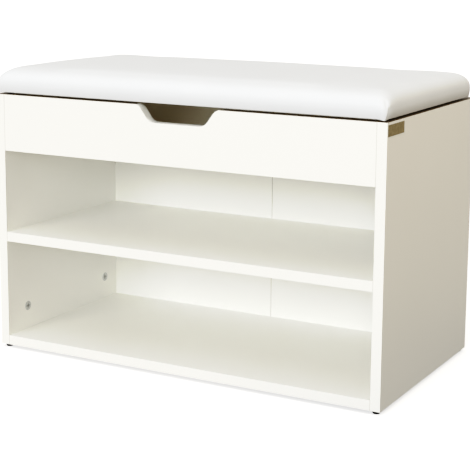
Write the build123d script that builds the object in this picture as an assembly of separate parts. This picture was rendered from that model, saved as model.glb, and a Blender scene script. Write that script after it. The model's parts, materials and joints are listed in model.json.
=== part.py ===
"""Entryway shoe bench: open shelf carcass of coated board, a storage compartment with a
notched front panel, and a padded seat that lifts on two butt hinges at the rear.

Carcass coordinates are used until the last step: X is centred, Y runs from the front edges
of the side panels (0) to the rear, Z starts at the underside of the bottom board. The last
step moves everything so that the origin is centred under the bench, on the floor.
"""
from build123d import *
import os

# ---- Driving dimensions, mm ------------------------------------------------------------
carcass_width = 650.0          # over the side panels
carcass_depth = 350.0          # side panels, front to rear
carcass_height = 400.0         # underside of the bottom board to the side panels' top edges
board = 15.0                   # thickness of the coated boards

shelf_top = 183.0              # top face of the middle shelf
front_panel_height = 88.0      # the panel is flush with the side panels' top edges
notch_top_width = 130.0        # finger notch at the panel's top edge, before its corners are rounded
notch_floor_width = 92.0       # finger notch at its floor, before its corners are rounded
notch_depth = 26.0
notch_round = 18.0

back_inset = 41.0              # side panels' rear edges to the back panel's rear face
back_thickness = 3.0
groove_depth = 6.0             # in the side panels and the rear rail
base_groove_depth = 5.0        # in the bottom board
groove_clearance = 0.2
groove_end_gap = 0.5           # left at each end of a back leaf in its grooves
leaf_gap = 0.6                 # between the two back leaves
tape_width = 30.0
tape_thickness = 0.3

rail_width = 50.0              # flat rear rail, front to rear
rear_setback = 15.0            # rail and lid end this far in front of the side panels' rear edges

foot_height = 5.0
foot_top_diameter = 14.0
foot_bottom_diameter = 9.5
foot_inset = 9.0              # foot axis to the bottom board's edges
foot_nail_diameter = 2.0
foot_nail_length = 15.0        # under the head
foot_nail_head_diameter = 4.6
foot_nail_head_height = 1.0
foot_nail_recess = 1.0         # head below the foot's rubbing face

# Flat-pack fittings
cam_diameter = 15.0
cam_height = 12.2
cam_pocket_depth = 12.5
cam_setback = 37.0             # cam axis to the joint
cam_cross_length = 9.0
cam_cross_width = 1.8
cam_cross_depth = 2.5
bolt_stud_diameter = 5.0
bolt_stud_length = 11.0
bolt_stem_diameter = 6.8
bolt_neck_diameter = 4.4
bolt_neck_length = 5.5
bolt_head_length = 3.5
bolt_bore_diameter = 8.0
dowel_diameter = 8.0
dowel_length = 30.0
dowel_in_face = 11.0           # part of the dowel in the face of a board
dowel_chamfer = 1.0
hole_spare = 0.5               # blind holes run this much deeper than what they hold
fit = 0.05                     # radial clearance of a fitting in its hole
side_cam_rows = (50.0, 270.0)  # distances from the front edge
side_dowel_rows = (82.0, 238.0)
shelf_cam_rows = (50.0, 256.0)
shelf_dowel_rows = (82.0, 224.0)
panel_cam_below_top = 50.0     # cam fitting at each end of the front panel
panel_dowel_below_top = 18.0
floor_dowel_columns = (-200.0, 0.0, 200.0)
rail_cam_from_rear = 13.0
rail_dowel_from_front = 8.0

back_nail_diameter = 1.4
back_nail_length = 20.0
back_nail_head_diameter = 3.2
back_nail_head_height = 0.6
back_nail_columns = (60.0, 160.0, 260.0)

# Padded lid
lid_gap = 3.0                  # side panels' top edges to the lid's underside
seat_thickness = 42.0          # cover's underside to the top of the cushion
seat_edge_inset = 4.0          # lower outline of the cover, in from the side panels' outer faces
side_bulge = 5.5               # how far the cushion swells past that outline at the sides
front_bulge = 2.5
rear_bulge = 1.5
bulge_height = 12.0            # height of the widest section above the underside
seat_corner_radius = 16.0
seat_top_radius = 14.0
cover_thickness = 1.0
cover_return = 25.0            # width of the cover folded under the lid board
lid_board_thickness = 12.0
lid_board_gap = 0.3            # round the lid board, inside the cover
foam_gap = 0.3                 # between the foam and the cover
foam_wrap = 8.0                # how far the foam is pulled down over the lid board's edges
lining_thickness = 0.6
lining_gap = 0.3
staple_crown = 10.0
staple_leg = 6.0
staple_wire_width = 1.0
staple_wire_thickness = 0.5
staple_pitch = 45.0
staple_inset = 15.0            # staple line to the cover's lower outline
buffer_diameter = 10.0
buffer_gap = 0.1
buffer_inset = 6.0             # buffer axis to the cover's lower outline
buffer_rows = (25.0, 170.0)

# Butt hinges
hinge_spread = 400.0           # between the two hinges' centres
hinge_length = 50.0
hinge_leaf_width = 33.0        # from the pin's axis
hinge_leaf_gap = 0.2           # between the closed leaves
hinge_knuckle_diameter = 5.0
hinge_pin_diameter = 2.4
hinge_pin_clearance = 0.05     # radial
hinge_knuckles = 5
hinge_knuckle_gap = 0.3        # between neighbouring knuckles
screw_diameter = 3.0
screw_head_diameter = 5.4
screw_head_height = 1.2
screw_length = 11.0
screw_places = ((-17.0, 22.0), (0.0, 11.0), (17.0, 22.0))   # along the hinge, in front of the pin

# Blank label plate on the right side panel
label_length = 57.0
label_height = 16.0
label_thickness = 0.5
label_from_front = 2.0
label_below_top = 4.0

# ---- Derived places --------------------------------------------------------------------
outer_x = carcass_width / 2
inner_x = outer_x - board
shelf_bottom = shelf_top - board
floor_bottom = carcass_height - front_panel_height
floor_top = floor_bottom + board
back_rear_y = carcass_depth - back_inset
back_front_y = back_rear_y - back_thickness
groove_rear_y = back_rear_y + groove_clearance
rail_rear_y = carcass_depth - rear_setback
rail_front_y = rail_rear_y - rail_width
rail_bottom = carcass_height - board
lid_bottom = carcass_height + lid_gap
lid_board_bottom = lid_bottom + cover_thickness
lid_board_top = lid_board_bottom + lid_board_thickness
seat_top = lid_bottom + seat_thickness
seat_half = outer_x - seat_edge_inset
hinge_leaf_thickness = (lid_gap - hinge_leaf_gap) / 2
hinge_axis_y = rail_rear_y + hinge_knuckle_diameter / 2
hinge_axis_z = carcass_height + lid_gap / 2
hinge_centres = {"left": -hinge_spread / 2, "right": hinge_spread / 2}

SIDES = {"left": -1, "right": 1}
UP = (0, 0, 1)
DOWN = (0, 0, -1)
REAR = (0, 1, 0)
FORWARD = (0, -1, 0)


# ---- Shape helpers ---------------------------------------------------------------------
def block(x, y, z):
    """A box from its (low, high) limits along each axis."""
    size = [high - low for low, high in (x, y, z)]
    return Pos(x[0], y[0], z[0]) * Box(*size, align=(Align.MIN, Align.MIN, Align.MIN))


def rod(diameter, start, end):
    """A cylinder on the local Z axis, from start to end."""
    base = (Align.CENTER, Align.CENTER, Align.MIN)
    return Pos(0, 0, start) * Cylinder(diameter / 2, end - start, align=base)


def cone(start_diameter, end_diameter, start, end):
    """A tapered rod on the local Z axis."""
    base = (Align.CENTER, Align.CENTER, Align.MIN)
    return Pos(0, 0, start) * Cone(start_diameter / 2, end_diameter / 2, end - start, align=base)


def place(shapes):
    """One group of separate solids from a list of shapes."""
    return Compound([solid for shape in shapes for solid in shape.solids()])


def frame_at(origin, axis, face):
    """A local frame: Z goes into the board's edge and X points to the face that shows."""
    return Plane(origin=origin, x_dir=face, z_dir=axis).location


# ---- Joints between the boards ---------------------------------------------------------
def board_joints():
    """Cam joints and dowels, each as (board drilled in its edge, board drilled in its face, frame)."""
    cams = []
    dowels = []
    for name, side in SIDES.items():
        panel = f"{name}_side"
        inward = (-side, 0, 0)
        for rows, found in ((side_cam_rows, cams), (side_dowel_rows, dowels)):
            for y in rows:
                at = (side * (inner_x + board / 2), y, board)
                found.append((panel, "bottom_board", frame_at(at, UP, inward)))
        for shelf, bottom in (("middle_shelf", shelf_bottom), ("compartment_floor", floor_bottom)):
            for rows, found in ((shelf_cam_rows, cams), (shelf_dowel_rows, dowels)):
                for y in rows:
                    at = (side * inner_x, y, bottom + board / 2)
                    found.append((shelf, panel, frame_at(at, inward, DOWN)))
        for drop, found in ((panel_cam_below_top, cams), (panel_dowel_below_top, dowels)):
            at = (side * inner_x, board / 2, carcass_height - drop)
            found.append(("front_panel", panel, frame_at(at, inward, REAR)))
        rail_rows = ((rail_rear_y - rail_cam_from_rear, cams), (rail_front_y + rail_dowel_from_front, dowels))
        for y, found in rail_rows:
            at = (side * inner_x, y, rail_bottom + board / 2)
            found.append(("rear_rail", panel, frame_at(at, inward, DOWN)))
    for x in floor_dowel_columns:
        at = (x, board, floor_bottom + board / 2)
        dowels.append(("compartment_floor", "front_panel", frame_at(at, REAR, UP)))
    return cams, dowels


def cam_frame():
    """The cam's own frame in a joint's frame: on the board's face, pointing into the board."""
    return Plane(origin=(board / 2, 0, cam_setback), x_dir=UP, z_dir=(-1, 0, 0)).location


def cam_nut():
    nut = rod(cam_diameter, 0, cam_height)
    for turn in (0, 90):
        slot = Box(cam_cross_length, cam_cross_width, 2 * cam_cross_depth)
        nut -= Rot(0, 0, turn) * slot
    nut = cam_frame() * nut
    throat = rod(bolt_stem_diameter + 0.6, cam_setback - cam_diameter, cam_setback + cam_diameter / 4)
    return nut - throat


def cam_bolt():
    head_end = cam_setback + bolt_head_length / 2
    neck_end = head_end - bolt_head_length
    stem_end = neck_end - bolt_neck_length
    bolt = rod(bolt_stud_diameter, -bolt_stud_length, 0)
    bolt += rod(bolt_stem_diameter, 0, stem_end)
    bolt += rod(bolt_neck_diameter, stem_end, neck_end)
    return bolt + rod(bolt_stem_diameter, neck_end, head_end)


def dowel():
    pin = rod(dowel_diameter, -dowel_in_face, dowel_length - dowel_in_face)
    return chamfer(pin.edges().filter_by(GeomType.CIRCLE), dowel_chamfer)


def cam_edge_cut():
    pocket = cam_frame() * rod(cam_diameter + 2 * fit, -1, cam_pocket_depth)
    return [pocket, rod(bolt_bore_diameter, -1, cam_setback)]


def cam_face_cut():
    return [rod(bolt_stud_diameter + 2 * fit, -bolt_stud_length - hole_spare, 1)]


def dowel_edge_cut():
    return [rod(dowel_diameter + 2 * fit, -1, dowel_length - dowel_in_face + hole_spare)]


def dowel_face_cut():
    return [rod(dowel_diameter + 2 * fit, -dowel_in_face - hole_spare, 1)]


def drilled(name, body, cams, dowels):
    """The board with every pocket and hole that its joints need."""
    cuts = []
    for joints, edge_cut, face_cut in ((cams, cam_edge_cut, cam_face_cut),
                                       (dowels, dowel_edge_cut, dowel_face_cut)):
        for edge_board, face_board, at in joints:
            if name == edge_board:
                cuts += [at * cut for cut in edge_cut()]
            if name == face_board:
                cuts += [at * cut for cut in face_cut()]
    return body - cuts


# ---- Carcass boards --------------------------------------------------------------------
def foot_places():
    """Foot axes by name, as (x, y)."""
    x = outer_x - foot_inset
    rows = {"front": foot_inset, "rear": carcass_depth - foot_inset}
    return {f"{row}_{name}": (side * x, y) for row, y in rows.items() for name, side in SIDES.items()}


def bottom_board():
    body = block((-outer_x, outer_x), (0, carcass_depth), (0, board))
    groove_half = inner_x + groove_depth
    body -= block((-groove_half, groove_half), (back_front_y, groove_rear_y), (board - base_groove_depth, board))
    for x, y in foot_places().values():
        body -= Pos(x, y, 0) * rod(foot_nail_diameter + 2 * fit, -1, nail_top() + hole_spare)
    return body


def side_panel(side):
    low, high = sorted((side * inner_x, side * outer_x))
    body = block((low, high), (0, carcass_depth), (board, carcass_height))
    groove_x = sorted((side * inner_x, side * (inner_x + groove_depth)))
    groove_z = (board, rail_bottom + groove_depth)
    return body - block(groove_x, (back_front_y, groove_rear_y), groove_z)


def shelf_board(bottom, front):
    """A shelf between the side panels, from its front edge to the back panel."""
    body = block((-inner_x, inner_x), (front, back_front_y), (bottom, bottom + board))
    return body - back_nail_cuts(bottom)


def front_panel():
    half_top = notch_top_width / 2
    half_floor = notch_floor_width / 2
    floor = carcass_height - notch_depth
    corners = [(-half_top, carcass_height), (-half_floor, floor), (half_floor, floor), (half_top, carcass_height)]
    outline = [(-inner_x, floor_bottom), (-inner_x, carcass_height), *corners,
               (inner_x, carcass_height), (inner_x, floor_bottom)]
    face = make_face(Polyline(*outline, close=True))
    rounded = [v for v in face.vertices() if abs(v.X) < inner_x - 1]
    face = fillet(rounded, notch_round)
    return Plane.XZ * extrude(face, -board)


def rear_rail():
    body = block((-inner_x, inner_x), (rail_front_y, rail_rear_y), (rail_bottom, carcass_height))
    groove = block((-inner_x, inner_x), (back_front_y, groove_rear_y), (rail_bottom, rail_bottom + groove_depth))
    cuts = [at * screw_hole() for at in screw_frames("fixed")]
    return body - [groove, *cuts]


# ---- Back panel ------------------------------------------------------------------------
def back_leaf(side):
    bottom = board - base_groove_depth + groove_end_gap
    top = rail_bottom + groove_depth - groove_end_gap
    x = sorted((side * leaf_gap / 2, side * (inner_x + groove_depth - groove_end_gap)))
    leaf = block(x, (back_front_y, back_rear_y), (bottom, top))
    for bottom in (shelf_bottom, floor_bottom):
        leaf -= back_nail_cuts(bottom)
    return leaf


def back_fold_tape():
    half = tape_width / 2
    return block((-half, half), (back_rear_y, back_rear_y + tape_thickness), (board + 1, rail_bottom - 1))


def back_nail_frames(shelf):
    """Nails through the back leaves into the rear edge of the shelf with this underside."""
    for column in back_nail_columns:
        for x in (-column, column):
            yield frame_at((x, back_rear_y, shelf + board / 2), FORWARD, UP)


def back_nail_cuts(shelf):
    hole = rod(back_nail_diameter + 2 * fit, -1, back_nail_length + hole_spare)
    return [at * hole for at in back_nail_frames(shelf)]


def back_nails():
    nail = rod(back_nail_diameter, 0, back_nail_length)
    nail += rod(back_nail_head_diameter, -back_nail_head_height, 0)
    return place([at * nail for shelf in (shelf_bottom, floor_bottom) for at in back_nail_frames(shelf)])


# ---- Feet ------------------------------------------------------------------------------
def nail_top():
    """Height of a foot nail's point above the underside of the bottom board."""
    return foot_nail_length - foot_height + foot_nail_recess + foot_nail_head_height


def foot():
    body = cone(foot_bottom_diameter, foot_top_diameter, -foot_height, 0)
    body -= rod(foot_nail_diameter + 2 * fit, -foot_height - 1, 1)
    seat = -foot_height + foot_nail_recess + foot_nail_head_height
    return body - rod(foot_nail_head_diameter + 0.4, -foot_height - 1, seat)


def foot_nail():
    head = -foot_height + foot_nail_recess
    nail = rod(foot_nail_head_diameter, head, head + foot_nail_head_height)
    return nail + rod(foot_nail_diameter, head, nail_top())


# ---- Hinges ----------------------------------------------------------------------------
def screw_frames(leaf):
    """Screw positions of both hinges on one kind of leaf; Z points into the board."""
    face = hinge_axis_z - hinge_leaf_gap / 2 if leaf == "fixed" else hinge_axis_z + hinge_leaf_gap / 2
    axis = DOWN if leaf == "fixed" else UP
    frames = []
    for centre in hinge_centres.values():
        for along, forward in screw_places:
            frames.append(frame_at((centre + along, hinge_axis_y - forward, face), axis, (1, 0, 0)))
    return frames


def screw():
    shank = rod(screw_diameter, 0, screw_length)
    body = shank + cone(screw_head_diameter, screw_diameter, 0, screw_head_height)
    recess = Box(screw_diameter, screw_diameter / 5, screw_head_height)
    return body - [recess, Rot(0, 0, 90) * recess]


def screw_hole():
    return rod(screw_diameter + 2 * fit, -1, screw_length + hole_spare)


def countersink():
    spread = screw_head_diameter - screw_diameter
    taper = cone(screw_head_diameter + 2 * fit, screw_diameter + 2 * fit, 0, screw_head_height)
    mouth = cone(screw_head_diameter + spread, screw_head_diameter + 2 * fit, -screw_head_height, 0)
    return [taper, mouth, screw_hole()]


def knuckle_spans(centre, first):
    """(start, end) along X of every other knuckle, counting from the first given."""
    pitch = hinge_length / hinge_knuckles
    start = centre - hinge_length / 2
    return [(start + n * pitch + hinge_knuckle_gap / 2, start + (n + 1) * pitch - hinge_knuckle_gap / 2)
            for n in range(first, hinge_knuckles, 2)]


def hinge_leaf(centre, leaf):
    """One leaf: a plate between the rail and the lid, and its share of the knuckles."""
    fixed = leaf == "fixed"
    if fixed:
        plate_z = (carcass_height, carcass_height + hinge_leaf_thickness)
    else:
        plate_z = (lid_bottom - hinge_leaf_thickness, lid_bottom)
    plate_x = (centre - hinge_length / 2, centre + hinge_length / 2)
    plate_end = hinge_axis_y - hinge_knuckle_diameter / 2 - hinge_knuckle_gap
    body = block(plate_x, (hinge_axis_y - hinge_leaf_width, plate_end), plate_z)
    for start, end in knuckle_spans(centre, 0 if fixed else 1):
        body += block((start, end), (plate_end, hinge_axis_y), plate_z)
        body += pin_frame() * rod(hinge_knuckle_diameter, start, end)
    bore = hinge_pin_diameter + 2 * hinge_pin_clearance
    body -= pin_frame() * rod(bore, plate_x[0] - 1, plate_x[1] + 1)
    cuts = [at * cut for at in screw_frames(leaf) for cut in countersink()]
    near = [cut for cut in cuts if abs(cut.center().X - centre) < hinge_length / 2]
    return body - near


def pin_frame():
    """Local Z runs along the hinge axis, towards +X."""
    return Plane(origin=(0, hinge_axis_y, hinge_axis_z), x_dir=UP, z_dir=(1, 0, 0)).location


def hinge_pin(centre):
    half = hinge_length / 2
    return pin_frame() * rod(hinge_pin_diameter, centre - half, centre + half)


# ---- Padded lid ------------------------------------------------------------------------
def seat_outline(bulge, inset):
    """Rounded rectangle of the cushion; bulge 0 is its lower outline, 1 its widest section."""
    front = -bulge * front_bulge + inset
    rear = rail_rear_y + bulge * rear_bulge - inset
    half = seat_half + bulge * side_bulge - inset
    outline = RectangleRounded(2 * half, rear - front, seat_corner_radius - inset)
    return Pos(0, (front + rear) / 2, 0) * outline


def seat_form(inset):
    """The cushion's outer form, or the same form that much smaller all round."""
    widest = lid_bottom + bulge_height
    lower = loft([Pos(0, 0, lid_bottom + inset) * seat_outline(0, inset), Pos(0, 0, widest) * seat_outline(1, inset)])
    upper = extrude(Pos(0, 0, widest) * seat_outline(1, inset), seat_top - inset - widest)
    rim = upper.faces().sort_by(Axis.Z)[-1].edges()
    return lower + fillet(rim, seat_top_radius - inset)


def lid_board_blank():
    outline = seat_outline(0, cover_thickness + lid_board_gap)
    return extrude(Pos(0, 0, lid_board_bottom) * outline, lid_board_thickness)


def lid_board():
    cuts = [at * screw_hole() for at in screw_frames("moving")]
    return lid_board_blank() - cuts - staples(fit)


def seat_foam():
    form = seat_form(cover_thickness + foam_gap)
    above = block((-carcass_width, carcass_width), (-carcass_depth, 2 * carcass_depth),
                  (lid_board_top - foam_wrap, 2 * carcass_height))
    return (form & above) - lid_board_blank()


def cover_opening(gap):
    half = seat_half - cover_return - gap
    y = (cover_return + gap, rail_rear_y - cover_return - gap)
    return block((-half, half), y, (lid_bottom - 1, lid_board_bottom))


def seat_cover():
    shell = seat_form(0) - seat_form(cover_thickness)
    cuts = [at * screw_hole() for at in screw_frames("moving")]
    return shell - cover_opening(0) - cuts - staples(fit)


def lid_lining():
    sheet = (lid_board_bottom - lining_thickness, lid_board_bottom)
    slab = block((-carcass_width, carcass_width), (0, carcass_depth), sheet)
    return slab & cover_opening(lining_gap)


def staple_frames():
    """Staples along the folded cover; X runs along the crown, Z points into the lid board."""
    half_x = seat_half - staple_inset
    y_low = staple_inset
    y_high = rail_rear_y - staple_inset
    count_x = int(2 * half_x // staple_pitch)
    count_y = int((y_high - y_low) // staple_pitch)
    frames = []
    for n in range(count_x):
        x = -half_x + (n + 0.5) * 2 * half_x / count_x
        clear = all(abs(x - centre) > (hinge_length + staple_crown) / 2 + 1 for centre in hinge_centres.values())
        frames.append(frame_at((x, y_low, lid_bottom), UP, (1, 0, 0)))
        if clear:
            frames.append(frame_at((x, y_high, lid_bottom), UP, (1, 0, 0)))
    for n in range(count_y):
        y = y_low + (n + 0.5) * (y_high - y_low) / count_y
        frames += [frame_at((x, y, lid_bottom), UP, (0, 1, 0)) for x in (-half_x, half_x)]
    return frames


def staples(gap=0.0):
    """All staples, or their holes when a gap is given."""
    half = staple_crown / 2
    wire = staple_wire_width / 2
    legs = []
    for end in (-1, 1):
        middle = end * (half - wire)
        leg_x = (middle - wire - gap, middle + wire + gap)
        start = -staple_wire_thickness if gap == 0 else -1
        legs.append(block(leg_x, (-wire - gap, wire + gap), (start, staple_leg + 4 * gap)))
    if gap:
        return [at * leg for at in staple_frames() for leg in legs]
    crown = block((-half, half), (-wire, wire), (-staple_wire_thickness, 0))
    staple = crown + legs
    return place([at * staple for at in staple_frames()])


def lid_buffers():
    x = seat_half - buffer_inset
    disc = rod(buffer_diameter, carcass_height + buffer_gap, lid_bottom)
    return place([Pos(side * x, y, 0) * disc for side in SIDES.values() for y in buffer_rows])


def label_plate():
    top = carcass_height - label_below_top
    y = (label_from_front, label_from_front + label_length)
    return block((outer_x, outer_x + label_thickness), y, (top - label_height, top))


# ---- Assembly --------------------------------------------------------------------------
def build():
    """Every sub-part by name, in carcass coordinates."""
    cams, dowels = board_joints()
    boards = {
        "bottom_board": bottom_board(),
        "left_side": side_panel(SIDES["left"]),
        "right_side": side_panel(SIDES["right"]),
        "middle_shelf": shelf_board(shelf_bottom, 0),
        "compartment_floor": shelf_board(floor_bottom, board),
        "front_panel": front_panel(),
        "rear_rail": rear_rail(),
    }
    parts = {name: drilled(name, body, cams, dowels) for name, body in boards.items()}
    parts["back_panel_left"] = back_leaf(SIDES["left"])
    parts["back_panel_right"] = back_leaf(SIDES["right"])
    parts["back_fold_tape"] = back_fold_tape()
    parts["back_panel_nails"] = back_nails()
    parts["cam_nuts"] = place([at * cam_nut() for _, _, at in cams])
    parts["cam_bolts"] = place([at * cam_bolt() for _, _, at in cams])
    parts["wood_dowels"] = place([at * dowel() for _, _, at in dowels])
    for name, (x, y) in foot_places().items():
        parts[f"{name}_foot"] = Pos(x, y, 0) * foot()
    parts["foot_nails"] = place([Pos(x, y, 0) * foot_nail() for x, y in foot_places().values()])
    for name, centre in hinge_centres.items():
        parts[f"{name}_hinge_fixed_leaf"] = hinge_leaf(centre, "fixed")
        parts[f"{name}_hinge_moving_leaf"] = hinge_leaf(centre, "moving")
        parts[f"{name}_hinge_pin"] = hinge_pin(centre)
    parts["rail_hinge_screws"] = place([at * screw() for at in screw_frames("fixed")])
    parts["lid_hinge_screws"] = place([at * screw() for at in screw_frames("moving")])
    parts["lid_board"] = lid_board()
    parts["seat_foam"] = seat_foam()
    parts["seat_cover"] = seat_cover()
    parts["lid_lining"] = lid_lining()
    parts["cover_staples"] = staples()
    parts["lid_buffers"] = lid_buffers()
    parts["label_plate"] = label_plate()
    return parts


def export(parts):
    """Write each sub-part with the origin on the floor, under the middle of the whole bench."""
    os.makedirs("parts", exist_ok=True)
    to_frame = Pos(0, -(carcass_depth - front_bulge) / 2, foot_height)
    for name, shape in parts.items():
        export_step(to_frame * shape, f"parts/{name}.step")


export(build())
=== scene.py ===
import json
import math

import bmesh
import bpy
from mathutils import Matrix, Vector


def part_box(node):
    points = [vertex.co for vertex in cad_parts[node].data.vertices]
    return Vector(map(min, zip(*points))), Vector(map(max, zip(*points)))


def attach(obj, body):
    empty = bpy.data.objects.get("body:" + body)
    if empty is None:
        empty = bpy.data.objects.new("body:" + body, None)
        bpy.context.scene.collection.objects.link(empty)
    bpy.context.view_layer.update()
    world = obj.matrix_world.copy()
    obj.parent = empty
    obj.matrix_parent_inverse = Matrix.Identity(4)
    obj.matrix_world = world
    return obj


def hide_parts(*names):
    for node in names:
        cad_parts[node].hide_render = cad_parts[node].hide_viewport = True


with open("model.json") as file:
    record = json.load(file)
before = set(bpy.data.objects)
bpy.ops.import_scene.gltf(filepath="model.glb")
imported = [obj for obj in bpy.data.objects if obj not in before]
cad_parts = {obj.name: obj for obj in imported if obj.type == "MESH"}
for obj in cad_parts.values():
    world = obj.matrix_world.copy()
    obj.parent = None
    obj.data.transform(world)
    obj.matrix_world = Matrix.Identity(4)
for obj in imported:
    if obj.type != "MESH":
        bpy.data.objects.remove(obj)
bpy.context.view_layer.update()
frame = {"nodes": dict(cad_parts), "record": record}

MM = 0.001
NODES = frame["nodes"]
SCENE = bpy.context.scene


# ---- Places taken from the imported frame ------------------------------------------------
cover_low, cover_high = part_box("seat_cover")
board_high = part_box("lid_board")[1]
side_low, side_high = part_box("right_side")
carcass_top = side_high.z


# ---- Material helpers ------------------------------------------------------------------
RGBA = {"data_type": "RGBA"}
NOISE_RANGE = {"From Min": 0.3, "From Max": 0.7}     # noise seldom leaves it
EDGE_LINE = 0.3 * MM         # half width of glue lines and of the painted shade lines at the butt joints, coarse enough to show
JOINT_INSET = 0.2 * MM       # the painted shade line of a butt joint runs this far inside the joint
BANDING = 0.8 * MM           # thickness of the band on the front edges
RAW_SHADE_BAND = 0.6 * MM          # the raw edges' dark colour, partly painted shade for the gap under the lid, comes this far down the faces, enough to show
FRONT_FACING = -0.7          # a board's face is a front edge where its normal's Y is below this
PAINTED_FACING = -0.5        # and the hardboard's is its painted face


def linear(code):
    """An sRGB hex colour as linear RGBA."""
    found = []
    for start in (0, 2, 4):
        value = int(code[start:start + 2], 16) / 255
        found.append(value / 12.92 if value <= 0.04045 else ((value + 0.055) / 1.055) ** 2.4)
    return (*found, 1.0)


def add(tree, kind, settings=None, inputs=None):
    """A node with its settings, and its inputs set to values or linked to sockets."""
    node = tree.nodes.new(kind)
    for name, value in (settings or {}).items():
        setattr(node, name, value)
    for name, value in (inputs or {}).items():
        if isinstance(value, bpy.types.NodeSocket):
            tree.links.new(value, node.inputs[name])
        else:
            node.inputs[name].default_value = value
    return node


def begin(name):
    """A new material, its tree, and the object coordinates and normal that its patterns read."""
    material = bpy.data.materials.new(name)
    material.use_nodes = True
    tree = material.node_tree
    tree.nodes.clear()
    read = add(tree, "ShaderNodeTexCoord")
    return material, tree, read.outputs["Object"], read.outputs["Normal"]


# ---- Finishes --------------------------------------------------------------------------
def melamine_white():
    """Melamine-faced board: warm white, pressed with a faint pearl that breaks up reflections.

    The edges under the lid are left raw, in a dark brown that is partly painted shade for the gap
    under the lid. The banded front edges show a line of glue, and the front panel a line of painted
    shade at its butt joints, for the shaded hairline gaps."""
    material, tree, place, normal = begin("melamine_white")
    drift = add(tree, "ShaderNodeTexNoise", inputs={"Vector": place, "Scale": 1 / 0.12, "Detail": 3.0})
    white = add(tree, "ShaderNodeMix", RGBA,
                {"Factor": drift.outputs["Fac"], "A": linear("F6F5EE"), "B": linear("F8F7F1")})
    at = add(tree, "ShaderNodeSeparateXYZ", inputs={"Vector": place})
    facing = add(tree, "ShaderNodeSeparateXYZ", inputs={"Vector": normal})
    # Painted shade: a grey line on the front panel's face at its butt joints stands for the shaded
    # hairline gap; the same grey draws the real glue line of the banding.
    across = add(tree, "ShaderNodeMath", {"operation": "ABSOLUTE"}, {0: at.outputs["X"]})
    at_butt_shade = add(tree, "ShaderNodeMath", {"operation": "COMPARE"},
                  {0: across.outputs["Value"], 1: side_low.x - JOINT_INSET, 2: EDGE_LINE})
    front = add(tree, "ShaderNodeMath", {"operation": "LESS_THAN"},
                {0: facing.outputs["Y"], 1: FRONT_FACING})
    butt = add(tree, "ShaderNodeMath", {"operation": "MULTIPLY"},
               {0: at_butt_shade.outputs["Value"], 1: front.outputs["Value"]})
    at_glue = add(tree, "ShaderNodeMath", {"operation": "COMPARE"},
                  {0: at.outputs["Y"], 1: side_low.y + BANDING, 2: EDGE_LINE})
    endways = add(tree, "ShaderNodeMath", {"operation": "ABSOLUTE"}, {0: facing.outputs["X"]})
    glue = add(tree, "ShaderNodeMath", {"operation": "MULTIPLY"},
               {0: at_glue.outputs["Value"], 1: endways.outputs["Value"]})
    lines = add(tree, "ShaderNodeMath", {"operation": "MAXIMUM"},
                {0: butt.outputs["Value"], 1: glue.outputs["Value"]})
    glue_and_shade_lined = add(tree, "ShaderNodeMix", RGBA,
                {"Factor": lines.outputs["Value"], "A": white.outputs["Result"], "B": linear("C9C5B8")})
    # Partly painted shade: the top edges under the lid are raw board, coloured a much darker brown than
    # raw board so that the gap under the lid reads dark.
    top_edge_shade = add(tree, "ShaderNodeMath", {"operation": "GREATER_THAN"},
                 {0: at.outputs["Z"], 1: carcass_top - RAW_SHADE_BAND})
    chips = add(tree, "ShaderNodeTexVoronoi", inputs={"Vector": place, "Scale": 1 / (3 * MM)})
    raw = add(tree, "ShaderNodeMix", RGBA,
              {"Factor": chips.outputs["Distance"], "A": linear("3B2D20"), "B": linear("6C5A42")})
    edged = add(tree, "ShaderNodeMix", RGBA,
                {"Factor": top_edge_shade.outputs["Value"], "A": glue_and_shade_lined.outputs["Result"],
                 "B": raw.outputs["Result"]})
    pearl = add(tree, "ShaderNodeTexNoise",
                inputs={"Vector": place, "Scale": 1 / (1.6 * MM), "Detail": 3.0, "Roughness": 0.6})
    satin = add(tree, "ShaderNodeMapRange",
                inputs={"Value": pearl.outputs["Fac"], **NOISE_RANGE, "To Min": 0.36, "To Max": 0.46})
    bump = add(tree, "ShaderNodeBump",
               inputs={"Height": pearl.outputs["Fac"], "Distance": 0.03 * MM, "Strength": 0.6})
    surface = add(tree, "ShaderNodeBsdfPrincipled",
                  inputs={"Base Color": edged.outputs["Result"], "Roughness": satin.outputs["Result"],
                          "IOR": 1.5, "Normal": bump.outputs["Normal"]})
    add(tree, "ShaderNodeOutputMaterial", inputs={"Surface": surface.outputs["BSDF"]})
    return material


def rail_board():
    """Raw fibre board of the hinge rail: olive brown, matt."""
    material, tree, place, _ = begin("fibre_board_raw")
    along = add(tree, "ShaderNodeMapping", inputs={"Vector": place, "Scale": (0.4, 1, 1)})
    fibre = add(tree, "ShaderNodeTexNoise",
                inputs={"Vector": along.outputs["Vector"], "Scale": 1 / (4 * MM), "Detail": 6.0,
                        "Roughness": 0.7})
    brown = add(tree, "ShaderNodeMix", RGBA,
                {"Factor": fibre.outputs["Fac"], "A": linear("85744D"), "B": linear("9A8962")})
    bump = add(tree, "ShaderNodeBump",
               inputs={"Height": fibre.outputs["Fac"], "Distance": 0.1 * MM, "Strength": 0.5})
    surface = add(tree, "ShaderNodeBsdfPrincipled",
                  inputs={"Base Color": brown.outputs["Result"], "Roughness": 0.9, "IOR": 1.5,
                          "Specular IOR Level": 0.2, "Normal": bump.outputs["Normal"]})
    add(tree, "ShaderNodeOutputMaterial", inputs={"Surface": surface.outputs["BSDF"]})
    return material


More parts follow.
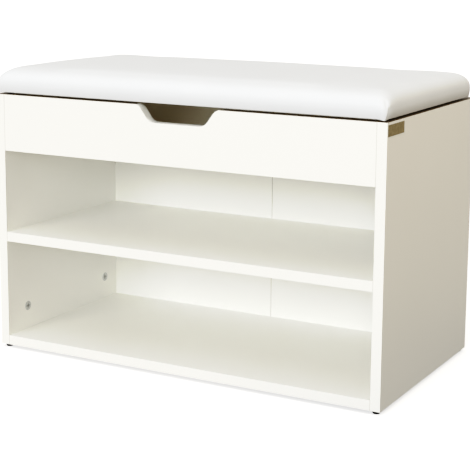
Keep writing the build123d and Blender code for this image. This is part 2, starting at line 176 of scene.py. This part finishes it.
def hardboard_white():
    """Thin hardboard: white paint on the smooth face, raw brown fibre on the rear face and edges."""
    material, tree, place, normal = begin("hardboard_white")
    facing = add(tree, "ShaderNodeSeparateXYZ", inputs={"Vector": normal})
    front = add(tree, "ShaderNodeMath", {"operation": "LESS_THAN"},
                {0: facing.outputs["Y"], 1: PAINTED_FACING})
    upright = add(tree, "ShaderNodeMapping", inputs={"Vector": place, "Scale": (1, 1, 0.5)})
    fibre = add(tree, "ShaderNodeTexNoise",
                inputs={"Vector": upright.outputs["Vector"], "Scale": 1 / (3 * MM), "Detail": 6.0,
                        "Roughness": 0.7})
    raw = add(tree, "ShaderNodeMix", RGBA,
              {"Factor": fibre.outputs["Fac"], "A": linear("86725B"), "B": linear("AD9A80")})
    painted = add(tree, "ShaderNodeMix", RGBA,
                  {"Factor": front.outputs["Value"], "A": raw.outputs["Result"], "B": linear("F3F2EB")})
    satin = add(tree, "ShaderNodeMapRange",
                inputs={"Value": fibre.outputs["Fac"], **NOISE_RANGE, "To Min": 0.45, "To Max": 0.6})
    bump = add(tree, "ShaderNodeBump",
               inputs={"Height": fibre.outputs["Fac"], "Distance": 0.06 * MM, "Strength": 0.5})
    surface = add(tree, "ShaderNodeBsdfPrincipled",
                  inputs={"Base Color": painted.outputs["Result"], "Roughness": satin.outputs["Result"],
                          "IOR": 1.48, "Normal": bump.outputs["Normal"]})
    add(tree, "ShaderNodeOutputMaterial", inputs={"Surface": surface.outputs["BSDF"]})
    return material


def leather_white():
    """Polyurethane leather: white, softly glossy, with a fine pebble grain from its release paper."""
    material, tree, place, _ = begin("polyurethane_leather_white")
    pebbles = add(tree, "ShaderNodeTexVoronoi", {"feature": "DISTANCE_TO_EDGE"},
                  {"Vector": place, "Scale": 1 / (2.2 * MM), "Randomness": 1.0})
    domes = add(tree, "ShaderNodeMapRange", {"interpolation_type": "SMOOTHSTEP"},
                {"Value": pebbles.outputs["Distance"], "From Min": 0.0, "From Max": 0.35})
    drift = add(tree, "ShaderNodeTexNoise", inputs={"Vector": place, "Scale": 1 / 0.06, "Detail": 4.0})
    white = add(tree, "ShaderNodeMix", RGBA,
                {"Factor": drift.outputs["Fac"], "A": linear("DDDFE2"), "B": linear("E4E6E8")})
    satin = add(tree, "ShaderNodeMapRange",
                inputs={"Value": drift.outputs["Fac"], **NOISE_RANGE, "To Min": 0.46, "To Max": 0.56})
    grain = add(tree, "ShaderNodeBump",
                inputs={"Height": domes.outputs["Result"], "Distance": 0.08 * MM, "Strength": 0.5})
    creases = add(tree, "ShaderNodeTexNoise",
                  inputs={"Vector": place, "Scale": 1 / (11 * MM), "Detail": 5.0, "Roughness": 0.65})
    creased = add(tree, "ShaderNodeBump",
                  inputs={"Height": creases.outputs["Fac"], "Distance": 0.3 * MM, "Strength": 0.35,
                          "Normal": grain.outputs["Normal"]})
    surface = add(tree, "ShaderNodeBsdfPrincipled",
                  inputs={"Base Color": white.outputs["Result"], "Roughness": satin.outputs["Result"],
                          "IOR": 1.46, "Normal": creased.outputs["Normal"]})
    add(tree, "ShaderNodeOutputMaterial", inputs={"Surface": surface.outputs["BSDF"]})
    return material


def foam_cream():
    """Open-cell polyurethane foam: cream, matt, pitted by its cells."""
    material, tree, place, _ = begin("polyurethane_foam_cream")
    cells = add(tree, "ShaderNodeTexVoronoi", inputs={"Vector": place, "Scale": 1 / (1.5 * MM)})
    cream = add(tree, "ShaderNodeMix", RGBA,
                {"Factor": cells.outputs["Distance"], "A": linear("D9CDA8"), "B": linear("F1E8CB")})
    bump = add(tree, "ShaderNodeBump",
               inputs={"Height": cells.outputs["Distance"], "Distance": 0.3 * MM, "Strength": 0.8})
    surface = add(tree, "ShaderNodeBsdfPrincipled",
                  inputs={"Base Color": cream.outputs["Result"], "Roughness": 0.95, "IOR": 1.45,
                          "Normal": bump.outputs["Normal"]})
    add(tree, "ShaderNodeOutputMaterial", inputs={"Surface": surface.outputs["BSDF"]})
    return material


def particle_board():
    """Raw particle board: pressed wood chips, straw to brown, matt and slightly pitted."""
    material, tree, place, _ = begin("particle_board_raw")
    chips = add(tree, "ShaderNodeTexVoronoi", inputs={"Vector": place, "Scale": 1 / (4.5 * MM)})
    shade = add(tree, "ShaderNodeSeparateColor", inputs={"Color": chips.outputs["Color"]})
    straw = add(tree, "ShaderNodeMix", RGBA,
                {"Factor": shade.outputs["Red"], "A": linear("8E6C44"), "B": linear("CDAF7E")})
    pits = add(tree, "ShaderNodeTexNoise",
               inputs={"Vector": place, "Scale": 1 / (1.2 * MM), "Detail": 4.0})
    bump = add(tree, "ShaderNodeBump",
               inputs={"Height": pits.outputs["Fac"], "Distance": 0.2 * MM, "Strength": 0.6})
    surface = add(tree, "ShaderNodeBsdfPrincipled",
                  inputs={"Base Color": straw.outputs["Result"], "Roughness": 0.85, "IOR": 1.5,
                          "Normal": bump.outputs["Normal"]})
    add(tree, "ShaderNodeOutputMaterial", inputs={"Surface": surface.outputs["BSDF"]})
    return material


def beech():
    """Beech dowel: pinkish tan with fine flecks along the rod."""
    material, tree, place, _ = begin("beech_turned")
    along = add(tree, "ShaderNodeMapping", inputs={"Vector": place, "Scale": (0.15, 1, 1)})
    flecks = add(tree, "ShaderNodeTexNoise",
                 inputs={"Vector": along.outputs["Vector"], "Scale": 1 / (1.2 * MM), "Detail": 4.0,
                         "Roughness": 0.6})
    tan = add(tree, "ShaderNodeMix", RGBA,
              {"Factor": flecks.outputs["Fac"], "A": linear("B78A5C"), "B": linear("DDBA8C")})
    bump = add(tree, "ShaderNodeBump",
               inputs={"Height": flecks.outputs["Fac"], "Distance": 0.08 * MM, "Strength": 0.5})
    surface = add(tree, "ShaderNodeBsdfPrincipled",
                  inputs={"Base Color": tan.outputs["Result"], "Roughness": 0.6, "IOR": 1.5,
                          "Normal": bump.outputs["Normal"]})
    add(tree, "ShaderNodeOutputMaterial", inputs={"Surface": surface.outputs["BSDF"]})
    return material


def nylon_black():
    """Moulded nylon glide: black, satin, with the faint skin of the mould."""
    material, tree, place, _ = begin("nylon_black")
    skin = add(tree, "ShaderNodeTexNoise",
               inputs={"Vector": place, "Scale": 1 / (0.9 * MM), "Detail": 3.0})
    black = add(tree, "ShaderNodeMix", RGBA,
                {"Factor": skin.outputs["Fac"], "A": linear("0B0B0C"), "B": linear("17171A")})
    satin = add(tree, "ShaderNodeMapRange",
                inputs={"Value": skin.outputs["Fac"], **NOISE_RANGE, "To Min": 0.38, "To Max": 0.55})
    bump = add(tree, "ShaderNodeBump",
               inputs={"Height": skin.outputs["Fac"], "Distance": 0.03 * MM, "Strength": 0.5})
    surface = add(tree, "ShaderNodeBsdfPrincipled",
                  inputs={"Base Color": black.outputs["Result"], "Roughness": satin.outputs["Result"],
                          "IOR": 1.53, "Normal": bump.outputs["Normal"]})
    add(tree, "ShaderNodeOutputMaterial", inputs={"Surface": surface.outputs["BSDF"]})
    return material


def rubber_black():
    """Cast rubber buffer: dark grey, dull, slightly dusty."""
    material, tree, place, _ = begin("rubber_black")
    dust = add(tree, "ShaderNodeTexNoise",
               inputs={"Vector": place, "Scale": 1 / (2 * MM), "Detail": 4.0})
    grey = add(tree, "ShaderNodeMix", RGBA,
               {"Factor": dust.outputs["Fac"], "A": linear("141414"), "B": linear("2A2A29")})
    dull = add(tree, "ShaderNodeMapRange",
               inputs={"Value": dust.outputs["Fac"], **NOISE_RANGE, "To Min": 0.75, "To Max": 0.9})
    surface = add(tree, "ShaderNodeBsdfPrincipled",
                  inputs={"Base Color": grey.outputs["Result"], "Roughness": dull.outputs["Result"],
                          "IOR": 1.52})
    add(tree, "ShaderNodeOutputMaterial", inputs={"Surface": surface.outputs["BSDF"]})
    return material


def metal(name, dark, light, low, high, size, stretch=(1, 1, 1)):
    """A plated or cast metal with a drawn, tumbled or cast skin of this grain size."""
    material, tree, place, _ = begin(name)
    drawn = add(tree, "ShaderNodeMapping", inputs={"Vector": place, "Scale": stretch})
    skin = add(tree, "ShaderNodeTexNoise",
               inputs={"Vector": drawn.outputs["Vector"], "Scale": 1 / size, "Detail": 4.0,
                       "Roughness": 0.6})
    tone = add(tree, "ShaderNodeMix", RGBA,
               {"Factor": skin.outputs["Fac"], "A": linear(dark), "B": linear(light)})
    gloss = add(tree, "ShaderNodeMapRange",
                inputs={"Value": skin.outputs["Fac"], **NOISE_RANGE, "To Min": low, "To Max": high})
    bump = add(tree, "ShaderNodeBump",
               inputs={"Height": skin.outputs["Fac"], "Distance": 0.04 * MM, "Strength": 0.4})
    surface = add(tree, "ShaderNodeBsdfPrincipled",
                  inputs={"Base Color": tone.outputs["Result"], "Metallic": 1.0,
                          "Roughness": gloss.outputs["Result"], "Normal": bump.outputs["Normal"]})
    add(tree, "ShaderNodeOutputMaterial", inputs={"Surface": surface.outputs["BSDF"]})
    return material


def nonwoven_black():
    """Spunbond lining cloth: black polypropylene fibres bonded in a grid of small dots."""
    material, tree, place, _ = begin("spunbond_black")
    fibres = add(tree, "ShaderNodeTexNoise",
                 inputs={"Vector": place, "Scale": 1 / (1.1 * MM), "Detail": 6.0, "Roughness": 0.75})
    black = add(tree, "ShaderNodeMix", RGBA,
                {"Factor": fibres.outputs["Fac"], "A": linear("0D0D0D"), "B": linear("232323")})
    dots = add(tree, "ShaderNodeTexVoronoi",
               inputs={"Vector": place, "Scale": 1 / (1.8 * MM), "Randomness": 0.0})
    bump = add(tree, "ShaderNodeBump",
               inputs={"Height": dots.outputs["Distance"], "Distance": 0.1 * MM, "Strength": 0.6})
    surface = add(tree, "ShaderNodeBsdfPrincipled",
                  inputs={"Base Color": black.outputs["Result"], "Roughness": 0.9, "IOR": 1.49,
                          "Sheen Weight": 0.2, "Sheen Roughness": 0.5, "Normal": bump.outputs["Normal"]})
    add(tree, "ShaderNodeOutputMaterial", inputs={"Surface": surface.outputs["BSDF"]})
    return material


def paper_tape():
    """Gummed paper strip over the fold of the back panel: cream, matt, fibrous."""
    material, tree, place, _ = begin("paper_tape")
    fibre = add(tree, "ShaderNodeTexNoise",
                inputs={"Vector": place, "Scale": 1 / (2 * MM), "Detail": 5.0})
    cream = add(tree, "ShaderNodeMix", RGBA,
                {"Factor": fibre.outputs["Fac"], "A": linear("CFC4AC"), "B": linear("DED5C1")})
    bump = add(tree, "ShaderNodeBump",
               inputs={"Height": fibre.outputs["Fac"], "Distance": 0.05 * MM, "Strength": 0.5})
    surface = add(tree, "ShaderNodeBsdfPrincipled",
                  inputs={"Base Color": cream.outputs["Result"], "Roughness": 0.85, "IOR": 1.45,
                          "Normal": bump.outputs["Normal"]})
    add(tree, "ShaderNodeOutputMaterial", inputs={"Surface": surface.outputs["BSDF"]})
    return material


def label_brown():
    """Printed film label, left blank: mottled brown ink on a satin film."""
    material, tree, place, _ = begin("label_film_brown")
    mottle = add(tree, "ShaderNodeTexNoise",
                 inputs={"Vector": place, "Scale": 1 / (5 * MM), "Detail": 5.0, "Roughness": 0.7})
    ink = add(tree, "ShaderNodeMapRange", inputs={"Value": mottle.outputs["Fac"], **NOISE_RANGE})
    brown = add(tree, "ShaderNodeMix", RGBA,
                {"Factor": ink.outputs["Result"], "A": linear("67593F"), "B": linear("9D8F71")})
    satin = add(tree, "ShaderNodeMapRange",
                inputs={"Value": ink.outputs["Result"], **NOISE_RANGE, "To Min": 0.5, "To Max": 0.65})
    surface = add(tree, "ShaderNodeBsdfPrincipled",
                  inputs={"Base Color": brown.outputs["Result"], "Roughness": satin.outputs["Result"],
                          "IOR": 1.5})
    add(tree, "ShaderNodeOutputMaterial", inputs={"Surface": surface.outputs["BSDF"]})
    return material


SHADOW_PATCH_OUT = 0.12             # middle of the painted shadow patch in the floor's thrown-back light, out from the right side
SHADOW_PATCH_DARK = 0.22            # it is darkest this far around
SHADOW_PATCH_GONE = 0.46            # and has faded out this far around


def floor_paper():
    """Seamless studio paper, white where it is seen. The light that it throws back is a room's warm
    floor, with a painted shadow of the bench beside its right-hand end."""
    material, tree, place, _ = begin("studio_paper_white")
    fibre = add(tree, "ShaderNodeTexNoise", inputs={"Vector": place, "Scale": 1 / 0.05})
    white = add(tree, "ShaderNodeMix", RGBA,
                {"Factor": fibre.outputs["Fac"], "A": linear("FCFCFC"), "B": linear("FEFEFE")})
    paper = add(tree, "ShaderNodeBsdfPrincipled",
                inputs={"Base Color": white.outputs["Result"], "Roughness": 0.9, "IOR": 1.4,
                        "Emission Color": linear("FFFFFF"), "Emission Strength": 0.4})
    # Painted shadow: for reflected light only, the floor is much darker in a patch beside the right-hand
    # end, so that the end panel darkens towards the floor.
    away = add(tree, "ShaderNodeVectorMath", {"operation": "DISTANCE"},
               {0: place, 1: (side_high.x + SHADOW_PATCH_OUT, 0, 0)})
    shade = add(tree, "ShaderNodeMapRange",
                inputs={"Value": away.outputs["Value"], "From Min": SHADOW_PATCH_DARK,
                        "From Max": SHADOW_PATCH_GONE})
    thrown_with_painted_shadow = add(tree, "ShaderNodeMix", RGBA,
                 {"Factor": shade.outputs["Result"], "A": linear("2E2212"), "B": linear("857B69")})
    warm = add(tree, "ShaderNodeBsdfDiffuse", inputs={"Color": thrown_with_painted_shadow.outputs["Result"]})
    ray = add(tree, "ShaderNodeLightPath")
    seen = add(tree, "ShaderNodeMixShader",
               inputs={0: ray.outputs["Is Camera Ray"], 1: warm.outputs["BSDF"],
                       2: paper.outputs["BSDF"]})
    add(tree, "ShaderNodeOutputMaterial", inputs={"Surface": seen.outputs["Shader"]})
    return material


FINISHES = {
    "white_melamine_board": melamine_white(),
    "white_faced_hardboard": hardboard_white(),
    "white_tape": paper_tape(),
    "bright_steel": metal("steel_bright_drawn", "8E8F91", "B9BABB", 0.25, 0.42, 0.8 * MM, (0.2, 1, 1)),
    "zinc_die_casting": metal("zinc_die_cast", "B4B5B5", "DEDEDC", 0.38, 0.6, 1.0 * MM),
    "zinc_plated_steel": metal("steel_zinc_plated", "9A9A98", "C6C6C2", 0.25, 0.4, 1.2 * MM),
    "nickel_plated_steel": metal("steel_nickel_plated", "B0AAA0", "D2CDC4", 0.16, 0.3, 1.0 * MM,
                                 (0.15, 1, 1)),
    "beech": beech(),
    "black_nylon": nylon_black(),
    "raw_particle_board": particle_board(),
    "polyurethane_foam": foam_cream(),
    "white_artificial_leather": leather_white(),
    "black_nonwoven": nonwoven_black(),
    "black_rubber": rubber_black(),
    "brown_label": label_brown(),
}


# ---- CAD nodes: finish and eased edges -------------------------------------------------
def ease_edges(piece, width):
    """A small round on the sharp edges, as a tool or a mould leaves it."""
    weld = piece.modifiers.new("weld", "WELD")
    weld.merge_threshold = 0.005 * MM
    bevel = piece.modifiers.new("eased_edges", "BEVEL")
    bevel.width = width
    bevel.segments = 2
    bevel.limit_method = "ANGLE"
    bevel.angle_limit = math.radians(40)
    bevel.use_clamp_overlap = True


BOARDS = ("bottom_board", "left_side", "right_side", "middle_shelf", "compartment_floor",
          "front_panel", "rear_rail")
FEET = ("front_left_foot", "front_right_foot", "rear_left_foot", "rear_right_foot")
HARD_EASE = 0.4 * MM         # rounding of the boards' and feet's edges
LABEL_EASE = 0.15 * MM

for row in frame["record"]["subparts"]:
    node = NODES[row["node"]]
    node.data.materials.clear()
    node.data.materials.append(FINISHES[row["material_slot"]])
NODES["rear_rail"].data.materials[0] = rail_board()
for name in BOARDS + FEET:
    ease_edges(NODES[name], HARD_EASE)
ease_edges(NODES["label_plate"], LABEL_EASE)


# ---- Padded seat -----------------------------------------------------------------------
edge_rows = 14               # mesh rows across each roll-over
middle_step = 9 * MM         # row spacing on the flat of the top
wall_rows = 6                # rows between the lower outline and the widest section
top_row = 0.999              # a point this far up the wall, as a share, belongs to the top
widest_above = 13 * MM       # widest section above the underside, at the lid board's top
end_tuck = 4.0 * MM          # how far the lower outline lies inside the widest section
front_tuck = 2.5 * MM
rear_tuck = 1.5 * MM
end_roll = 27 * MM           # how far in the top's roll-over starts, at the ends
front_roll = 40 * MM         # at the front
rear_roll = 26 * MM          # and at the rear
roll_power = 2.4             # 2 is an ellipse, more is fuller
crown = 2.0 * MM
corner_pull = 0.5 * MM       # how far the folded corners draw the top down
corner_reach = 45 * MM
upper_corner = 12 * MM       # plan radius at the widest section
lower_corner = 5 * MM        # plan radius at the underside, where the folds are stapled
allowance = 3.0 * MM         # the cover starts this much low, for the pressure to fill
tuck_power = 1.8             # how soon the wall turns in below the widest section
corner_power = 0.7           # how soon its plan corners sharpen
pressure = 3.5               # of the cloth that blows the cover out
blow_frames = 20
held_share = 0.9             # the board holds this much of the wall below the widest section
swell_limit = 3.0 * MM       # no point moves farther out than this
foam_give = 0.4 * MM         # nor farther in, because the foam stops it
even_rounds = 12             # smoothing of the moves
foam_inset = 3.0 * MM        # the foam lies this far inside the cover
foam_wall = 2 * MM           # upright part of its sides
cover_wall = 1.0 * MM
return_width = 25 * MM       # leather turned under the board
facing_down = -0.9           # a face points down where its normal's Z is below this
fold_from_corner = 3.5 * MM  # corner fold's edge on the end face, in from the front or rear face
fold_lean = 0.10             # how far the edge leans inward per height
fold_rise = 1.4 * MM         # the step's own width
fold_step = 1.3 * MM         # its depth
fold_fade = 14 * MM          # the end face comes back out over this length
fold_top = 21 * MM           # the fold has closed this far above the underside
fold_closing = 0.55          # and starts to at this share of that height
folded_bulk = 1.5 * MM       # the folded layers hang this much lower at the corner
bulk_reach = 13 * MM
bulk_start = 2 * MM
hang_height = 9 * MM         # the part above this doesn't hang
end_band = 9 * MM            # the end face's fold fades out from here
end_band_out = 16 * MM       # to here, measured in from the widest section

cover_middle = (cover_low.y + cover_high.y) / 2
cover_half = Vector(((cover_high.x - cover_low.x) / 2, (cover_high.y - cover_low.y) / 2))
return_x = cover_half.x - end_tuck - return_width
return_front = cover_low.y + front_tuck + return_width
return_rear = cover_high.y - rear_tuck - return_width


def row_places(half, roll, marks=()):
    """Row places along one side: close on the roll-overs, even on the flat, one on each mark."""
    edge = [half - roll * (1 - math.cos(math.pi / 2 * row / edge_rows) ** (2 / roll_power))
            for row in range(edge_rows)]
    flat = half - roll
    count = max(2, round(2 * flat / middle_step))
    middle = [flat - 2 * flat * step / count for step in range(count + 1)]
    places = edge + middle + [-place for place in reversed(edge)]
    for mark in marks:
        nearest = min(range(len(places)), key=lambda index: abs(places[index] - mark))
        places[nearest] = mark
    return places


def lifted(distance, roll):
    """Height of the roll-over at a distance in from the edge, as a share of its full height."""
    share = min(max(distance / roll, 0.0), 1.0)
    return max(0.0, 1 - (1 - share) ** roll_power) ** (1 / roll_power)


def smooth_step(value, start, end):
    """0 at the start, 1 at the end and level at both."""
    share = min(max((value - start) / (end - start), 0.0), 1.0)
    return share * share * (3 - 2 * share)


def rounded_plan(x, y, half, radius):
    """Draws a point of a rectangle in, so that its corners are round."""
    over_x = abs(x) - (half.x - radius)
    over_y = abs(y) - (half.y - radius)
    if over_x <= 0 or over_y <= 0:
        return x, y
    share = max(over_x, over_y) / math.hypot(over_x, over_y)
    return (math.copysign(half.x - radius + over_x * share, x),
            math.copysign(half.y - radius + over_y * share, y))


def block_with_rows(places_x, places_y, rows):
    """A cube from -0.5 to 0.5, cut at the given places and into this many rows of wall."""
    bm = bmesh.new()
    bmesh.ops.create_cube(bm, size=1.0)
    for axis, places in ((0, places_x), (1, places_y)):
        normal = Vector((0, 0, 0))
        normal[axis] = 1
        for place in places[1:-1]:
            cut = normal * ((place - places[-1]) / (places[0] - places[-1]) - 0.5)
            bmesh.ops.bisect_plane(bm, geom=bm.verts[:] + bm.edges[:] + bm.faces[:],
                                   plane_co=cut, plane_no=normal)
    for row in range(1, rows):
        bmesh.ops.bisect_plane(bm, geom=bm.verts[:] + bm.edges[:] + bm.faces[:],
                               plane_co=(0, 0, row / rows - 0.5), plane_no=(0, 0, 1))
    return bm


def cushion_form(inset, base, wall, tucked=True):
    """The cushion's closed form as a bmesh, from a base height, this far inside the cover."""
    half = cover_half - Vector((inset, inset))
    full = cover_high.z - inset - allowance - crown - base - wall
    stretch_x = 1 - end_tuck / half.x
    marks_x = (return_x / stretch_x, -return_x / stretch_x)
    marks_y = ((return_front - cover_middle) / (1 - front_tuck / half.y),
               (return_rear - cover_middle) / (1 - rear_tuck / half.y))
    bm = block_with_rows(row_places(half.x, end_roll, marks_x),
                         row_places(half.y, front_roll, marks_y), wall_rows)
    for vert in bm.verts:
        x, y = vert.co.x * 2 * half.x, vert.co.y * 2 * half.y
        share = vert.co.z + 0.5
        radius = lower_corner + (upper_corner - lower_corner) * share ** corner_power
        from_end, from_long = half.x - abs(x), half.y - abs(y)
        plan_x, plan_y = rounded_plan(x, y, half, radius)
        z = base + wall * share
        if share > top_row:
            corner = math.hypot(from_end, from_long)
            pull = corner_pull * math.exp(-(corner / corner_reach) ** 2 / 2)
            dome = (1 - (x / half.x) ** 2) * (1 - (y / half.y) ** 2)
            over_long = lifted(from_long, front_roll if y < 0 else rear_roll)
            z += (full - pull) * lifted(from_end, end_roll) * over_long + crown * dome
        drawn = (1 - share) ** tuck_power if tucked else 0.0
        long_tuck = front_tuck if y < 0 else rear_tuck
        vert.co = (plan_x * (1 - end_tuck * drawn / half.x),
                   cover_middle + plan_y * (1 - long_tuck * drawn / half.y), z)
    bmesh.ops.recalc_face_normals(bm, faces=bm.faces[:])
    return bm


def fold_corners(bm):
    """Folds the leather at the four corners: the front and rear pieces lap over the ends."""
    for vert in bm.verts:
        height = vert.co.z - cover_low.z
        from_end = cover_half.x - abs(vert.co.x)
        from_long = cover_half.y - abs(vert.co.y - cover_middle)
        side = math.copysign(1, vert.co.x)
        if from_end < end_band_out and height < fold_top:
            edge = fold_from_corner + fold_lean * height
            past = smooth_step(from_long, edge, edge + fold_rise)
            back = 1 - smooth_step(from_long, edge + fold_rise, edge + fold_fade)
            close = 1 - smooth_step(height, fold_closing * fold_top, fold_top)
            on_end = 1 - smooth_step(from_end, end_band, end_band_out)
            vert.co.x -= side * fold_step * past * back * close * on_end
        corner = math.hypot(max(0.0, from_end - end_tuck), max(0.0, from_long - rear_tuck))
        hang = 1 - smooth_step(height, 0.0, hang_height)
        vert.co.z -= folded_bulk * hang * (1 - smooth_step(corner, bulk_start, bulk_reach))


def new_piece(name, bm, slot, body):
    """A smooth mesh piece from a bmesh, with its finish, riding on a body."""
    mesh = bpy.data.meshes.new(name)
    bm.to_mesh(mesh)
    bm.free()
    piece = bpy.data.objects.new(name, mesh)
    SCENE.collection.objects.link(piece)
    mesh.polygons.foreach_set("use_smooth", [True] * len(mesh.polygons))
    mesh.materials.append(FINISHES[slot])
    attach(piece, body)
    return piece


def swell(piece, held_below):
    """Blows a closed mesh out as cloth, held under a height.

    Each point moves along its normal, softly stopped at the swell limit or by the foam."""
    group = piece.vertex_groups.new(name="held")
    group.add([v.index for v in piece.data.vertices if v.co.z < held_below], 1.0, "REPLACE")
    cloth = piece.modifiers.new("cloth", "CLOTH")
    settings = cloth.settings
    settings.quality = 6
    settings.mass = 0.3
    settings.tension_stiffness = 25
    settings.compression_stiffness = 25
    settings.shear_stiffness = 10
    settings.bending_stiffness = 4
    settings.use_pressure = True
    settings.uniform_pressure_force = pressure
    settings.vertex_group_mass = "held"
    settings.effector_weights.gravity = 0
    for number in range(1, blow_frames + 1):
        SCENE.frame_set(number)
    blown = piece.evaluated_get(bpy.context.evaluated_depsgraph_get())
    places = [v.co.copy() for v in blown.data.vertices]
    piece.modifiers.remove(cloth)
    piece.vertex_groups.remove(group)
    moves = []
    for vert, place in zip(piece.data.vertices, places):
        step = place - vert.co
        out = step.dot(vert.normal)
        stop = swell_limit if out > 0 else foam_give
        moves.append(stop * math.tanh(out / stop))
    for vert, move in zip(piece.data.vertices, evened(piece.data, moves)):
        vert.co += vert.normal * move
    SCENE.frame_set(1)


def evened(mesh, values):
    """Values at a mesh's points, each drawn towards its neighbours' mean a number of times."""
    near = [[] for _ in mesh.vertices]
    for edge in mesh.edges:
        first, second = edge.vertices
        near[first].append(second)
        near[second].append(first)
    for _ in range(even_rounds):
        values = [0.5 * value + 0.5 * sum(values[other] for other in others) / len(others)
                  for value, others in zip(values, near)]
    return values


def cover_piece():
    """The leather cover: blown out over the foam, folded at its corners, turned under the board."""
    form = cushion_form(0, cover_low.z, widest_above)
    cover = new_piece("seat_cover_leather", form, "white_artificial_leather", "padded_lid")
    swell(cover, cover_low.z + widest_above * held_share)
    bm = bmesh.new()
    bm.from_mesh(cover.data)
    hollow = [f for f in bm.faces if f.normal.z < facing_down and inside_return(f.calc_center_median())]
    bmesh.ops.delete(bm, geom=hollow, context="FACES")
    fold_corners(bm)
    bm.to_mesh(cover.data)
    bm.free()
    wall = cover.modifiers.new("leather_thickness", "SOLIDIFY")
    wall.thickness = cover_wall
    wall.offset = -1
    round_off = cover.modifiers.new("round_off", "SUBSURF")
    round_off.levels = round_off.render_levels = 1
    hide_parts("seat_cover")


def inside_return(point):
    """True inside the inner edge of the turned-under leather."""
    return abs(point.x) < return_x and return_front < point.y < return_rear


def foam_piece():
    """The foam block on the lid board, a little inside the cover."""
    form = cushion_form(foam_inset, board_high.z, foam_wall, tucked=False)
    foam = new_piece("seat_foam_block", form, "polyurethane_foam", "padded_lid")
    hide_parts("seat_foam")


cover_piece()
foam_piece()


# ---- Studio ----------------------------------------------------------------------------
CAMERA_PLACE = (0.9825, -1.7972, 0.6331)
CAMERA_YAW, CAMERA_PITCH, CAMERA_ROLL = 28.638, 9.947, 0.42     # degrees, looking down by the pitch
# Exposure, as linear tones in and out: middle tones up, darks kept.
TONE_CURVE = ((0.02, 0.012), (0.05, 0.045), (0.10, 0.13), (0.20, 0.285),
              (0.35, 0.48), (0.45, 0.595), (0.57, 0.735), (0.75, 0.86))


def camera():
    """A long lens from the front right, its frame shifted so that the uprights stay nearly upright."""
    data = bpy.data.cameras.new("camera")
    data.sensor_width = 36
    data.lens = 102.1
    data.shift_x = 0.001
    data.shift_y = -0.119
    data.clip_end = 50
    made = bpy.data.objects.new("camera", data)
    SCENE.collection.objects.link(made)
    turn = Matrix.Rotation(math.radians(CAMERA_YAW), 4, "Z")
    tilt = Matrix.Rotation(math.radians(90 - CAMERA_PITCH), 4, "X")
    roll = Matrix.Rotation(math.radians(CAMERA_ROLL), 4, "Z")
    made.matrix_world = Matrix.Translation(CAMERA_PLACE) @ turn @ tilt @ roll
    SCENE.camera = made


def distant_light(name, direction, spread, strength, colour):
    """Even light from one direction over the whole floor, as soft as its spread in degrees."""
    data = bpy.data.lights.new(name, "SUN")
    data.energy = strength
    data.angle = math.radians(spread)
    data.color = linear(colour)[:3]
    made = bpy.data.objects.new(name, data)
    SCENE.collection.objects.link(made)
    made.rotation_mode = "QUATERNION"
    made.rotation_quaternion = (-Vector(direction)).to_track_quat("-Z", "Y")


def strip_lamp(name, place, aim, size, power, colour):
    """A rectangular softbox that the camera doesn't see, turned to a point."""
    data = bpy.data.lights.new(name, "AREA")
    data.shape = "RECTANGLE"
    data.size, data.size_y = size
    data.energy = power
    data.color = linear(colour)[:3]
    made = bpy.data.objects.new(name, data)
    SCENE.collection.objects.link(made)
    made.location = place
    made.rotation_mode = "QUATERNION"
    made.rotation_quaternion = (Vector(aim) - Vector(place)).to_track_quat("-Z", "Y")
    made.visible_camera = False


def studio():
    """The floor, the lights, the room's glow and the exposure."""
    bm = bmesh.new()
    bmesh.ops.create_grid(bm, x_segments=1, y_segments=1, size=40)
    mesh = bpy.data.meshes.new("floor")
    bm.to_mesh(mesh)
    bm.free()
    floor = bpy.data.objects.new("floor", mesh)
    SCENE.collection.objects.link(floor)
    mesh.materials.append(floor_paper())
    distant_light("left_key", (-0.20, -1.0, 0.35), 25, 1.08, "F2F6FF")
    distant_light("right_key", (0.28, -1.0, 0.28), 25, 1.03, "FCFFFF")
    distant_light("overhead", (0.0, -0.2, 1.0), 60, 0.48, "F6FAFF")
    # Low behind the front panel, facing the rear rail, so that the finger notch isn't a black hole.
    strip_lamp("compartment_lamp", (0, side_low.y + 25 * MM, carcass_top - 8 * MM),
               (0, side_high.y, carcass_top - 50 * MM), (0.5, 0.012), 0.05, "FFE6B4")
    # Warm and high beside the right-hand end, so that the end panel darkens towards the floor.
    strip_lamp("end_lamp", (0.90, -0.10, 0.75), (side_high.x, 0, 0.36), (0.3, 0.3), 0.36, "FFE1A0")
    world = bpy.data.worlds.new("room")
    world.use_nodes = True
    tree = world.node_tree
    tree.nodes.clear()
    glow = add(tree, "ShaderNodeBackground", inputs={"Color": linear("FFFAEF"), "Strength": 0.58})
    seen = add(tree, "ShaderNodeBackground", inputs={"Color": linear("FFFFFF"), "Strength": 1.0})
    camera_ray = add(tree, "ShaderNodeLightPath").outputs["Is Camera Ray"]
    mixed = add(tree, "ShaderNodeMixShader",
                inputs={0: camera_ray, 1: glow.outputs["Background"], 2: seen.outputs["Background"]})
    add(tree, "ShaderNodeOutputWorld", inputs={"Surface": mixed.outputs["Shader"]})
    SCENE.world = world
    SCENE.view_settings.view_transform = "Standard"
    tone = SCENE.view_settings.curve_mapping
    for given, shown_as in TONE_CURVE:
        tone.curves[3].points.new(given, shown_as)
    tone.update()
    SCENE.view_settings.use_curve_mapping = True


camera()
studio()
